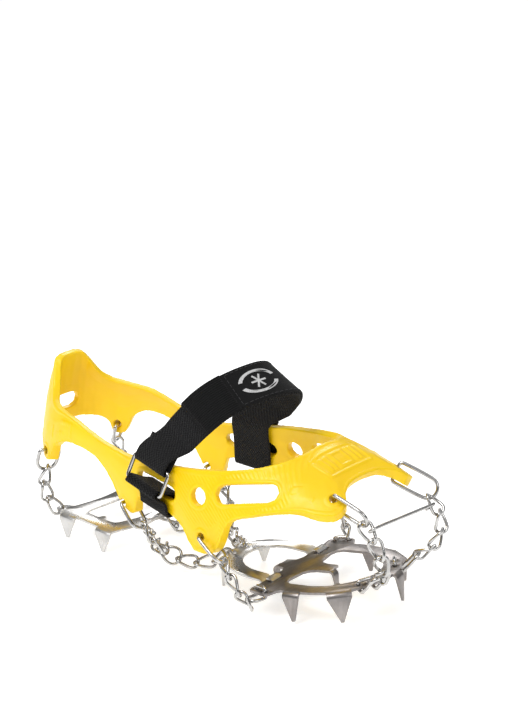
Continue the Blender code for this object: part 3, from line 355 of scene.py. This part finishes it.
# The outer side's windows as middle, half length, half height and turn in degrees, and its bored lugs.
WINDOWS = [((46.3, 48.0, 61.6), 17.5, 4.2, -3.0), ((49.0, 82.4, 64.6), 5.3, 5.3, 0.0),
           ((45.0, 113.5, 73.2), 20.0, 5.3, 13.0)]
BORES = [(31.5, -55.0, 54.0), (41.5, 17.2, 42.0), (52.0, 86.5, 42.7), (27.0, 160.5, 75.5)]
BAND_CROWN = 0.05           # how far the band's middle stands out, as a share of its width
VOXEL = 0.00062             # metres
OUTER_FACE = 0.55           # least cosine between a point's normal and the outward way
RIM_WINDOW, RIM_LUG, RIM_EDGE = 0.42, 0.35, 0.30
RIB_PITCH, RIB_HEIGHT = 2.35, 0.27
BRIDGE_ACROSS, BRIDGE_ALONG = 0.9, 145.0
BRIDGE_HEIGHT, SIDE_PANEL_HEIGHT, CREASE_HEIGHT = 0.38, 0.26, 0.35


def inner_side(place):
    """The place on the inner side that matches one on the outer side: a foot isn't quite symmetric."""
    across, along, up = place
    middle = 3.2 * math.cos(math.pi * (along - 45.0) / 190.0)
    return (2 * middle - across, along - 4.0 * math.exp(-((along - 88.0) / 26.0) ** 2), up)


def band_edge(side, steps):
    """A smooth closed edge round the shoe, through a list for the outer side and its match inside."""
    corners = [Vector(p) for p in side] + [Vector(inner_side(p)) for p in reversed(side[1:-1])]
    count = len(corners)
    places = []
    for i in range(count):
        near = [corners[(i + k) % count] for k in (-1, 0, 1, 2)]
        places += [curve_point(*near, k / steps) for k in range(steps)]
    return places


def band_rows(steps=4, across=9):
    """Places on the band's outer face, each with its outward way, share of the band's width, and width."""
    low, high = band_edge(LOWER, steps), band_edge(UPPER, steps)
    rows = []
    for i in range(len(low)):
        rise = high[i] - low[i]
        run = (low[(i + 1) % len(low)] + high[(i + 1) % len(low)]) - (low[i - 1] + high[i - 1])
        out = run.cross(rise).normalized()
        for k in range(across):
            share = k / (across - 1)
            spot = low[i] + rise * share + out * (BAND_CROWN * rise.length * 4 * share * (1 - share))
            rows.append((spot, out, share, rise.length))
    return rows


def pill_distance(x, y, half_length, half_height):
    """Distance to the edge of an outline with straight sides and round ends, less than 0 inside it."""
    straight = max(half_length - half_height, 0.0)
    return math.hypot(max(abs(x) - straight, 0.0), y) - min(half_height, half_length)


def step(value, low, high):
    """0 up to low, 1 from high, and smooth between them."""
    share = min(1.0, max(0.0, (value - low) / (high - low)))
    return share * share * (3 - 2 * share)


def window_frames(tree, rows):
    """All six windows as (middle, long way, short way, half length, half height, turn), in the frame."""
    frames = []
    for place, half_length, half_height, turn in WINDOWS:
        for spot, angle in ((place, turn), (inner_side(place), -turn)):
            out = way(*rows[tree.find(Vector(spot))[1]][1])
            side = Vector((0, 0, 1)).cross(out).normalized()
            frames.append((at(*spot), side, out.cross(side), half_length, half_height, math.radians(angle)))
    return frames


def window_distance(spot, frames):
    """Distance in mm from a place in the frame to the nearest window's edge, or 99 where none is near."""
    near = 99.0
    for centre, side, rise, half_length, half_height, angle in frames:
        away = spot - centre
        if away.length > 32.0 * MM:
            continue
        x, y = away.dot(side) / MM, away.dot(rise) / MM
        x, y = (x * math.cos(angle) + y * math.sin(angle), -x * math.sin(angle) + y * math.cos(angle))
        near = min(near, pill_distance(x, y, half_length, half_height))
    return near


def rims(window, bore, edge):
    """Rims round windows and lugs and along the band's edges, from the distance to each."""
    rim = RIM_WINDOW * (1 - step(window, 1.5, 2.3)) + RIM_LUG * (1 - step(bore, 4.6, 5.4))
    return max(rim, RIM_EDGE * (1 - step(edge, 0.9, 1.7)))


def ribs(along, up, share, window, bore, edge):
    """Slanting ribs on the front half's sides, which stop short of windows, lugs and edges."""
    if not (38.0 < along < 142.0 and (share > 0.34 or along > 100.0)):
        return 0.0
    phase = (along * 0.80 + up * 0.95) / RIB_PITCH
    fade = step(window, 2.4, 3.2) * step(edge, 2.0, 3.0) * step(bore, 7.0, 9.0)
    fade *= 1 - step(abs(along - 90.0), 46.0, 52.0)
    return RIB_HEIGHT * max(0.0, math.sin(2 * math.pi * phase)) * fade


def bridge_panel(x, y):
    """Raised lines on the bridge over the toes: a frame, and inside it a plain block between short bars."""
    gaps = [abs(max(abs(x) - 17.5, abs(y) - 7.6)) - 0.15, abs(max(abs(x) - 4.6, abs(y) - 4.6)) - 0.25,
            max(abs(abs(x) - 9.2) - 0.45, abs(y) - 4.6), max(abs(abs(x) - 12.8) - 0.45, abs(y) - 4.6)]
    return BRIDGE_HEIGHT * (1 - step(min(gaps), 0.25, 0.85))


def panels(across, along, share, width):
    """The bridge's panel, and a plain frame on each side of the heel."""
    if along > 128.0 and abs(across - BRIDGE_ACROSS) < 30.0:
        return bridge_panel(across - BRIDGE_ACROSS, along - BRIDGE_ALONG)
    if -52.0 < along < -24.0:
        gap = max(abs(along + 38.0) - 9.5, abs(share - 0.55) * width - 4.0)
        return SIDE_PANEL_HEIGHT * (1 - step(abs(gap), 0.35, 0.95))
    return 0.0


def crease(along, share, width, bore):
    """A slanting crease where each side turns into the bridge."""
    if not 118.0 < along < 152.0:
        return 0.0
    lean = (along - 131.0) * 0.45 + (share - 0.5) * width
    height = CREASE_HEIGHT * (1 - step(abs(lean), 0.4, 1.3)) * step(bore, 5.0, 7.0)
    return height * (step(share, 0.02, 0.12) * (1 - step(share, 0.42, 0.52)))


def harness():
    """The CAD band, remeshed, with its rims, ribs and panels raised on the outer face."""
    made = add("harness_moulding", cad_mesh("harness", quads=False), YELLOW)
    modify(made, "REMESH", mode="VOXEL", voxel_size=VOXEL, use_smooth_shade=True)
    modify(made, "SMOOTH", factor=0.5, iterations=5)
    applied(made)
    rows = band_rows()
    tree = KDTree(len(rows))
    for i, row in enumerate(rows):
        tree.insert(row[0], i)
    tree.balance()
    frames = window_frames(tree, rows)
    bores = [at(*spot) for place in BORES for spot in (place, inner_side(place))]
    moves = []
    for vert in made.data.vertices:
        across, along, up = measures(vert.co)
        _, out, share, width = rows[tree.find(Vector((across, along, up)))[1]]
        lift = 0.0
        if vert.normal.dot(way(*out)) > OUTER_FACE:
            window = window_distance(vert.co, frames)
            bore = min((vert.co - centre).length for centre in bores) / MM
            edge = min(share, 1 - share) * width
            lift = rims(window, bore, edge) + ribs(along, up, share, window, bore, edge)
            lift = max(lift + panels(across, along, share, width), crease(along, share, width, bore))
        moves.append(vert.normal * lift * MM)
    for vert, move in zip(made.data.vertices, moves):
        vert.co += move
    stands_for(made, "harness")


harness()

# ---------------------------------------------------------------- webbing
TAPE_WIDTH = 25.0
TAPE = 1.4
FLAP_LIFT = TAPE + 0.4      # from the middle of the strap to the middle of the flap on it
TAPE_EDGE = 0.045           # share of the half width over which the tape's edge is round
BAR_WRAP = 2.35             # from the middle of a bar to the middle of the tape round it
INSIDE_SHOE = at(0, 60, 60)
RING_ALONG = way(0.10, 0.97, -0.20)
RING_UP = way(-0.30, 0.25, 0.92)
RING_UP = (RING_UP - RING_ALONG * RING_ALONG.dot(RING_UP)).normalized()
RING_CENTRE = at(51.4, 47.0, 69.4)
LOWER_BAR, UPPER_BAR = RING_CENTRE - RING_UP * 7.3 * MM, RING_CENTRE + RING_UP * 7.3 * MM
# The strap over the instep: the middle of the tape and the way across it.
OVER = [(at(40.6, 59.0, 90.0), way(0.11, 0.92, -0.34)), (at(30.0, 73.0, 108.0), way(0.12, 0.82, -0.52)),
        (at(16.5, 82.0, 116.5), way(0.16, 0.80, -0.56)), (at(-4.0, 88.5, 119.5), way(0.10, 0.80, -0.58)),
        (at(-18.0, 88.0, 115.5), way(-0.16, 0.80, -0.56)), (at(-28.5, 79.0, 104.0), way(-0.30, 0.80, -0.52)),
        (at(-33.6, 66.0, 90.0), way(-0.24, 0.90, -0.34))]


def soften(rows, steps, closed=False):
    """More rows of (place, way across) on a smooth curve through the given rows."""
    count = len(rows)

    def pick(i):
        return rows[i % count] if closed else rows[min(max(i, 0), count - 1)]

    result = []
    for i in range(count if closed else count - 1):
        places = [pick(i + k)[0] for k in (-1, 0, 1, 2)]
        for k in range(steps):
            t = k / steps
            result.append((curve_point(*places, t), pick(i)[1].lerp(pick(i + 1)[1], t).normalized()))
    return result if closed else result + [rows[-1]]


def off_shoe(face, place):
    """The face's way, or its opposite, whichever points off the shoe."""
    return -face if face.dot(place - INSIDE_SHOE) < 0 else face


def shifted(rows, distance):
    """The rows moved off the shoe."""
    result = []
    for i, (place, wide) in enumerate(rows):
        face = wide.cross(rows[min(i + 1, len(rows) - 1)][0] - rows[max(i - 1, 0)][0]).normalized()
        result.append((place + off_shoe(face, place) * distance * MM, wide))
    return result


def strap_rows():
    """Round the ring's upper bar, over the instep, down inside the band's inner side and up outside it."""
    up = OVER[0][0] - UPPER_BAR
    up = (up - RING_ALONG * RING_ALONG.dot(up)).normalized()
    out = up.cross(RING_ALONG)
    out = out if out.dot(way(1, 0, 0)) > 0 else -out
    rows = [(UPPER_BAR + (out * a + up * b) * MM, RING_ALONG) for a, b in ((-1.4, 15.0), (-2.0, 7.0))]
    for degrees in range(180, 361, 30):
        angle = math.radians(degrees)
        rows.append((UPPER_BAR + (out * math.cos(angle) + up * math.sin(angle)) * BAR_WRAP * MM, RING_ALONG))
    rows.append((UPPER_BAR + (out * 1.6 + up * 7.0) * MM, RING_ALONG))
    rows += soften(OVER, 3)
    for place in ((-31.2, 54.0, 80.0), (-31.4, 51.6, 74.0), (-34.2, 50.4, 64.0), (-35.1, 50.0, 53.0),
                  (-35.3, 50.0, 48.6), (-36.8, 50.0, 47.3), (-40.4, 50.0, 47.3), (-41.9, 50.0, 48.6),
                  (-42.3, 50.0, 53.0), (-42.0, 50.4, 64.0), (-39.8, 51.6, 74.5), (-38.8, 53.4, 79.5)):
        rows.append((at(*place), way(-0.19, 0.975, -0.12)))
    return rows


def flap_rows():
    """On top of the strap over the instep, from the inner side to the pull end on the outer side."""
    rows = list(reversed(shifted(soften(OVER, 3), FLAP_LIFT)))
    first = (at(-39.6, 56.0, 83.6), way(-0.14, 0.97, -0.14))
    second = (at(-38.0, 60.6, 87.6), way(-0.20, 0.94, -0.26))
    return [first, second] + rows[2:-2]


def loop_rows():
    """A closed loop round the ring's lower bar and the band's edge below the window there."""
    across = way(1.0, -0.16, 0.0)
    across = (across - RING_ALONG * RING_ALONG.dot(across)).normalized()
    up = across.cross(RING_ALONG)
    up = up if up.z > 0 else -up
    base = at(46.5, 47.2, 50.4)
    base += RING_ALONG * (LOWER_BAR - base).dot(RING_ALONG)
    bar = (LOWER_BAR - base).dot(across) / MM, (LOWER_BAR - base).dot(up) / MM
    band = way(0.17, 0.98, -0.11)
    rows = []
    for degrees in (130, 90, 50, 10, -30):
        angle = math.radians(degrees)
        spot = (bar[0] + BAR_WRAP * math.cos(angle), bar[1] + BAR_WRAP * math.sin(angle))
        rows.append((base + (across * spot[0] + up * spot[1]) * MM, RING_ALONG))
    for out, rise, slip in ((2.6, 5.2, 3.0), (2.0, 1.0, 4.8), (1.3, -1.9, 4.8), (-0.8, -3.0, 4.8),
                            (-4.2, -3.0, 4.8), (-6.2, -1.9, 4.8), (-7.1, 0.5, 4.8), (-7.1, 7.2, 4.4),
                            (-6.2, 9.4, 4.0), (-4.0, 10.3, 3.2), (-0.8, 11.0, 2.0)):
        rows.append((base + (across * out + up * rise + band * slip) * MM, band))
    return rows


def tape_section(across_count, relief):
    """The tape's outline as (share of the half width, share of the half thickness, relief in mm)."""
    face = []
    for k in range(across_count + 1):
        share = -1 + 2 * k / across_count
        edge = max(0.0, abs(share) - (1 - TAPE_EDGE)) / TAPE_EDGE
        face.append((share, math.sqrt(max(0.0, 1 - edge * edge)), relief(share) * (edge < 0.3)))
    under = [(share, -thick, 0.0) for share, thick, _ in reversed(face)]
    return face + under[1:-1]


def tape(title, rows, mat, closed=False, steps=6, relief=lambda share: 0.0, across_count=40):
    """Webbing swept along its middle line. UV is across and along the tape in metres.

    Gives back the object, the rows it was swept along, and the distance along the tape at each row.
    """
    rows = soften(rows, steps, closed)
    count = len(rows)
    section = tape_section(across_count, relief)
    around = len(section)
    bm = bmesh.new()
    uv = bm.loops.layers.uv.new("UVMap")
    rings, run = [], [0.0]
    for i, (place, wide) in enumerate(rows):
        before = rows[i - 1][0] if closed or i else place
        after = rows[(i + 1) % count][0] if closed or i < count - 1 else place
        face = wide.cross(after - before).normalized()
        if i:
            run.append(run[-1] + (place - rows[i - 1][0]).length)
        ring = []
        for share, thick, extra in section:
            depth = TAPE / 2 * thick + extra
            ring.append(bm.verts.new(place + (wide * share * TAPE_WIDTH / 2 + face * depth) * MM))
        rings.append(ring)

    def face_of(corners):
        made = bm.faces.new([rings[i % count][k % around] for i, k in corners])
        for loop, (i, k) in zip(made.loops, corners):
            along = run[i] if i < count else run[-1] + (rows[0][0] - rows[-1][0]).length
            loop[uv].uv = (section[k % around][0] * TAPE_WIDTH / 2 * MM, along)

    for i in range(count if closed else count - 1):
        for k in range(around):
            face_of([(i, k), (i, k + 1), (i + 1, k + 1), (i + 1, k)])
    for i in () if closed else (0, count - 1):
        for k in range(across_count):
            columns = dict.fromkeys(column % around for column in (k, k + 1, around - k - 1, around - k))
            if len(columns) > 2:
                face_of([(i, column) for column in columns])
    bmesh.ops.recalc_face_normals(bm, faces=bm.faces)
    return add(title, bm, mat), rows, run


def rib_relief(share):
    return 0.09 * math.cos(math.pi * share * 9)


made, _, _ = tape("strap_tape", strap_rows(), LOOP_TAPE, steps=7)
stands_for(made, "strap")
made, _, _ = tape("ring_loop_tape", loop_rows(), WEAVE_TAPE, closed=True, steps=6, relief=rib_relief)
stands_for(made, "ring_loop")
made, flap_line, flap_run = tape("strap_flap_tape", flap_rows(), SMOOTH_PATCH, steps=7)
stands_for(made, "strap_flap")

# ---------------------------------------------------------------- what is on the flap
FLAP_BODY = BODY_OF["strap_flap"]
FLAP_LENGTH = flap_run[-1] / MM
TAB = FLAP_LENGTH - 26.0    # where the ribbed pull end starts
MARK_MIDDLE = FLAP_LENGTH - 44.0
SEAM_SHARE = 0.86           # of the half width
THREAD_RADIUS = 0.00016     # metres


def on_flap(share, along, lift):
    """A place on the outer face of the flap: share of the half width, distance along in mm, and height."""
    best = min(range(1, len(flap_run) - 1), key=lambda i: abs(flap_run[i] / MM - along))
    low, high = (best - 1, best) if flap_run[best] / MM > along else (best, best + 1)
    part = (along * MM - flap_run[low]) / (flap_run[high] - flap_run[low])
    place = flap_line[low][0].lerp(flap_line[high][0], part)
    wide = flap_line[low][1].lerp(flap_line[high][1], part).normalized()
    face = off_shoe(wide.cross(flap_line[high][0] - flap_line[low][0]).normalized(), place)
    return place + (wide * share * TAPE_WIDTH / 2 + face * (TAPE / 2 + lift)) * MM


def on_flap_piece(made):
    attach(made, FLAP_BODY)


def stitched(start, stop, length=2.1, gap=1.1, bow=0.28, sunk=0.03):
    """Stitches from one (share, along) place on the flap to another, each a low bow with sunk ends."""
    size = math.hypot((stop[0] - start[0]) * TAPE_WIDTH / 2, stop[1] - start[1])
    count = max(1, round(size / (length + gap)))
    lead, drawn = 0.15, 0.66             # of each stitch's stretch: before the thread, and the thread
    paths = []
    for i in range(count):
        path = []
        for k in range(5):
            t = (i + lead + drawn * k / 4) / count
            share = start[0] + (stop[0] - start[0]) * t
            along = start[1] + (stop[1] - start[1]) * t
            path.append(on_flap(share, along, bow * math.sin(math.pi * k / 4) - sunk))
        paths.append(path)
    return paths


def flap_stitches():
    """Two long seams and one across, as round threads in one mesh."""
    curve = bpy.data.curves.new("flap_stitches", "CURVE")
    curve.dimensions = "3D"
    curve.bevel_depth = THREAD_RADIUS
    curve.bevel_resolution = 1
    curve.use_fill_caps = True
    corners = [(-SEAM_SHARE, 4.0), (-SEAM_SHARE, TAB - 2.0), (SEAM_SHARE, 4.0), (SEAM_SHARE, TAB - 2.0)]
    for start, stop in ((0, 1), (2, 3), (1, 3)):
        for path in stitched(corners[start], corners[stop]):
            spline = curve.splines.new("POLY")
            spline.points.add(len(path) - 1)
            for point, place in zip(spline.points, path):
                point.co = (*place, 1.0)
    curve.materials.append(DARK_THREAD)
    threads = bpy.data.objects.new("flap_stitches", curve)
    bpy.context.scene.collection.objects.link(threads)
    bpy.context.view_layer.update()
    depsgraph = bpy.context.evaluated_depsgraph_get()
    mesh = bpy.data.meshes.new_from_object(threads.evaluated_get(depsgraph))
    bpy.data.objects.remove(threads)
    made = bpy.data.objects.new("flap_stitches", mesh)
    bpy.context.scene.collection.objects.link(made)
    on_flap_piece(made)


def raised_patch(title, outline, mat, lift, thick):
    """A thin patch on the flap whose outline is (share, along) places, with its sides sunk in."""
    sunk = 0.15
    bm = bmesh.new()
    low = [bm.verts.new(on_flap(share, along, lift - sunk)) for share, along in outline]
    high = [bm.verts.new(on_flap(share, along, lift + thick)) for share, along in outline]
    bm.faces.new(list(reversed(low)))
    bm.faces.new(high)
    count = len(outline)
    for i in range(count):
        bm.faces.new((low[i], low[(i + 1) % count], high[(i + 1) % count], high[i]))
    bmesh.ops.recalc_face_normals(bm, faces=bm.faces)
    made = add(title, bm, mat)
    made.data.set_sharp_from_angle(angle=math.radians(35))
    on_flap_piece(made)


def pull_end():
    """Ribbed pull at the flap's free end: raised cords that run along the tape."""
    across_count, along_count = 108, 40
    reach, rib_count = 1.02, 9.5         # share of the half width that is covered, and cords in one
    sunk, base, cord = 0.2, 0.55, 0.38   # heights: of the rim below the face, the pull, and the cords on it
    stop = FLAP_LENGTH - 0.8
    bm = bmesh.new()
    grid = []
    for i in range(along_count + 1):
        along = TAB + (stop - TAB) * i / along_count
        ends = min(1.0, i / 1.5, (along_count - i) / 1.5)
        row = []
        for k in range(across_count + 1):
            share = -reach + 2 * reach * k / across_count
            rib = 0.5 + 0.5 * math.cos(2 * math.pi * share * rib_count)
            edge = min(1.0, (reach - abs(share)) / 0.05)
            row.append(bm.verts.new(on_flap(share, along, (base + cord * rib) * ends * edge - sunk)))
        grid.append(row)
    for i in range(along_count):
        for k in range(across_count):
            bm.faces.new((grid[i][k], grid[i][k + 1], grid[i + 1][k + 1], grid[i + 1][k]))
    bmesh.ops.recalc_face_normals(bm, faces=bm.faces)
    made = add("flap_pull_ribs", bm, RIB_TAPE)
    modify(made, "SOLIDIFY", thickness=0.0003, offset=-1.0)
    on_flap_piece(applied(made))


def flap_mark():
    """A generic light mark on the flap: a broken ring round a small six-pointed star."""
    ring_along, ring_across, ring_inside = 12.5, 7.6, 0.80
    arm_length, arm_width = 4.6, 0.55
    shapes = []
    for low, high in ((18, 162), (198, 342)):
        outer = [(math.radians(low + (high - low) * k / 18), 1.0) for k in range(19)]
        inner = [(angle, ring_inside) for angle, _ in reversed(outer)]
        shapes.append([(math.cos(angle) * ring_along * size, math.sin(angle) * ring_across * size)
                       for angle, size in outer + inner])
    for k in range(3):
        angle = math.pi * k / 3
        x, y = math.cos(angle), math.sin(angle)
        shapes.append([(x * a * arm_length - y * b * arm_width, y * a * arm_length + x * b * arm_width)
                       for a, b in ((-1, -1), (1, -1), (1, 1), (-1, 1))])
    for index, shape in enumerate(shapes):
        outline = [(y / (TAPE_WIDTH / 2), MARK_MIDDLE + x) for x, y in shape]
        raised_patch(f"flap_mark_{index}", outline, MARK, lift=0.05, thick=0.16)


flap_stitches()
pull_end()
flap_mark()

# ---------------------------------------------------------------- studio
# The camera, fitted to the photo: its place in metres, and its backward and right-hand ways.
CAMERA_PLACE = Vector((-0.828512, -0.739475, 0.505102))
CAMERA_BACK = Vector((-0.72039626, -0.61370639, 0.32310013))
CAMERA_RIGHT = Vector((0.64487464, -0.76416655, -0.01364472))
CAMERA_LENS, CAMERA_SENSOR = 103.6545, 36.0
FLOOR_SIZE, FLOOR_LEVEL = 40.0, -0.0002      # metres


def camera():
    lens = bpy.data.cameras.new("camera")
    lens.sensor_width = CAMERA_SENSOR
    lens.lens = CAMERA_LENS
    lens.clip_start, lens.clip_end = 0.05, 30.0
    made = bpy.data.objects.new("camera", lens)
    turned = Matrix((CAMERA_RIGHT, CAMERA_BACK.cross(CAMERA_RIGHT), CAMERA_BACK)).transposed().to_4x4()
    made.matrix_world = Matrix.Translation(CAMERA_PLACE) @ turned
    bpy.context.scene.collection.objects.link(made)
    bpy.context.scene.camera = made


def floor():
    bm = bmesh.new()
    bmesh.ops.create_grid(bm, x_segments=8, y_segments=8, size=FLOOR_SIZE)
    made = add("floor", bm, FLOOR_WHITE, smooth=False)
    made.location.z = FLOOR_LEVEL


def lamp(name, place, aim, size, power):
    """A rectangular lamp, in metres and watts."""
    data = bpy.data.lights.new(name, "AREA")
    data.shape = "RECTANGLE"
    data.size, data.size_y = size
    data.energy = power
    made = bpy.data.objects.new(name, data)
    made.location = place
    made.rotation_mode = "QUATERNION"
    made.rotation_quaternion = (Vector(aim) - Vector(place)).to_track_quat("-Z", "Y")
    bpy.context.scene.collection.objects.link(made)


def world():
    """A dark ground and a sky that brightens upwards, for the reflections in the steel."""
    made = bpy.data.worlds.new("studio")
    made.use_nodes = True
    tree = made.node_tree
    backdrop = tree.nodes["Background"]
    parts = node(tree, "ShaderNodeSeparateXYZ")
    tree.links.new(node(tree, "ShaderNodeTexCoord").outputs["Generated"], parts.inputs[0])
    sky = ramp(tree, parts.outputs["Z"], [(0.0, 0.06), (0.18, 0.09), (0.42, 0.45), (1.0, 0.80)])
    tree.links.new(sky, backdrop.inputs["Color"])
    backdrop.inputs["Strength"].default_value = 0.9
    bpy.context.scene.world = made


camera()
floor()
lamp("key", (-0.80, 0.10, 1.20), aim=(0, 0, 0.04), size=(0.75, 0.55), power=10.5)
lamp("fill", (-0.35, -1.30, 0.75), aim=(0, 0, 0.05), size=(0.7, 0.5), power=3.2)
lamp("rim", (1.0, 0.75, 0.9), aim=(0, 0, 0.05), size=(0.6, 0.45), power=4.5)
world()
bpy.context.scene.view_settings.view_transform = "Standard"
bpy.context.scene.view_settings.look = "None"
